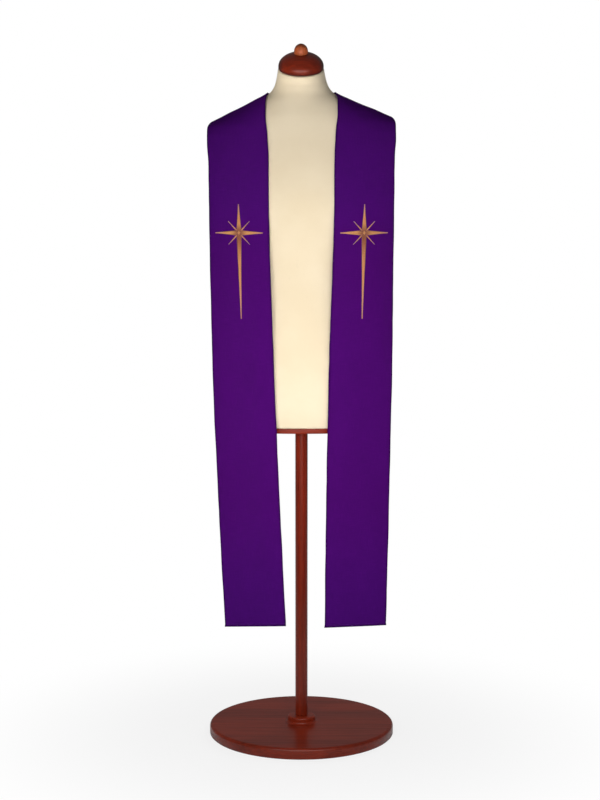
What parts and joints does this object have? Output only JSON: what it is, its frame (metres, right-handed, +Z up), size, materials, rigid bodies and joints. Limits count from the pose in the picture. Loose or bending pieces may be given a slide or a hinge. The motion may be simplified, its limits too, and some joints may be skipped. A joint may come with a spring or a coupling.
{
  "type": "clerical stole on a dress form",
  "caption": "Violet clerical stole with straight bands and a gold cross on each, hanging over the shoulders of a limbless cream dress form on a round base.",
  "frame": {"origin": "on the floor under the middle of the round base, which is also under the pole", "axes": "+Z up the pole, -Y towards the front of the form, where the bands hang, +X towards the viewer's right"},
  "size_m": [0.45, 0.45, 1.666],
  "materials": {
    "violet_cloth": "matt plain-woven wool and polyester cloth, deep violet, with pressed edges",
    "gold_thread": "satin stitch in gold rayon thread",
    "cream_cover": "close cream jersey stretched over the form",
    "varnished_mahogany": "turned wood, mahogany stain under gloss varnish",
    "knob_wood": "turned wood, lighter stain under gloss varnish"
  },
  "bodies": {
    "root": {"stole_left": "violet_cloth", "stole_right": "violet_cloth", "cross_left": "gold_thread", "cross_right": "gold_thread", "form_torso": "cream_cover", "form_plate": "varnished_mahogany", "neck_cap": "varnished_mahogany", "cap_knob": "knob_wood", "stand_pole": "varnished_mahogany", "stand_base": "varnished_mahogany"}
  },
  "joints": []
}
